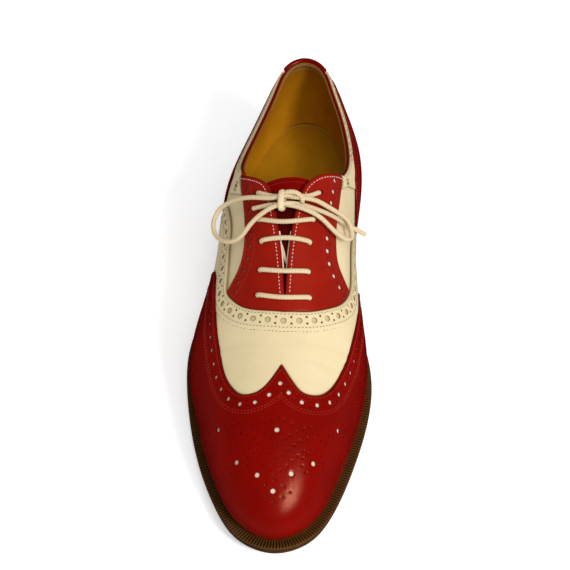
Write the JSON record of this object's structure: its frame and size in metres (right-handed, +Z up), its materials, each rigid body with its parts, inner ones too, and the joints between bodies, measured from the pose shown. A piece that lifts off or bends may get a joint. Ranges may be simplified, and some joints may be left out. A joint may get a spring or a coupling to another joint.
{
  "type": "wingtip oxford shoe",
  "caption": "Right wingtip oxford shoe: hollow cream upper with red wing cap, facing and heel counter, laced and tied in a bow, on a welted leather sole with a stacked heel.",
  "frame": {"origin": "centre of the footprint on the floor the shoe stands on", "axes": "+Z up, toe towards -Y, heel towards +Y, +X towards the medial (inner) side"},
  "size_m": [0.107, 0.303, 0.1097],
  "materials": {
    "red_leather": "polished calf, deep red, soft gloss",
    "cream_leather": "smooth calf, warm cream, low gloss",
    "lining_leather": "matt ochre lining leather",
    "welt_leather": "brown welt leather with a notched edge",
    "sole_leather": "dark brown waxed sole edge",
    "heel_rubber": "matt black rubber",
    "lace_cotton": "round waxed cotton, cream"
  },
  "bodies": {
    "root": {"wing_cap": "red_leather", "facing": "red_leather", "heel_counter": "red_leather", "heel_strip": "red_leather", "tongue": "red_leather", "upper": "cream_leather", "vamp": "cream_leather", "collar_strip_lateral": "cream_leather", "collar_strip_medial": "cream_leather", "insole": "lining_leather", "welt": "welt_leather", "outsole": "sole_leather", "heel_lift_1": "sole_leather", "heel_lift_2": "sole_leather", "heel_lift_3": "sole_leather", "heel_top_lift": "heel_rubber", "lace_bar_1": "lace_cotton", "lace_bar_2": "lace_cotton", "lace_bar_3": "lace_cotton", "lace_bar_4": "lace_cotton", "lace_strand_lateral": "lace_cotton", "lace_strand_medial": "lace_cotton", "lace_knot": "lace_cotton", "lace_loop_lateral": "lace_cotton", "lace_loop_medial": "lace_cotton", "lace_end_lateral": "lace_cotton", "lace_end_medial": "lace_cotton"}
  },
  "joints": []
}
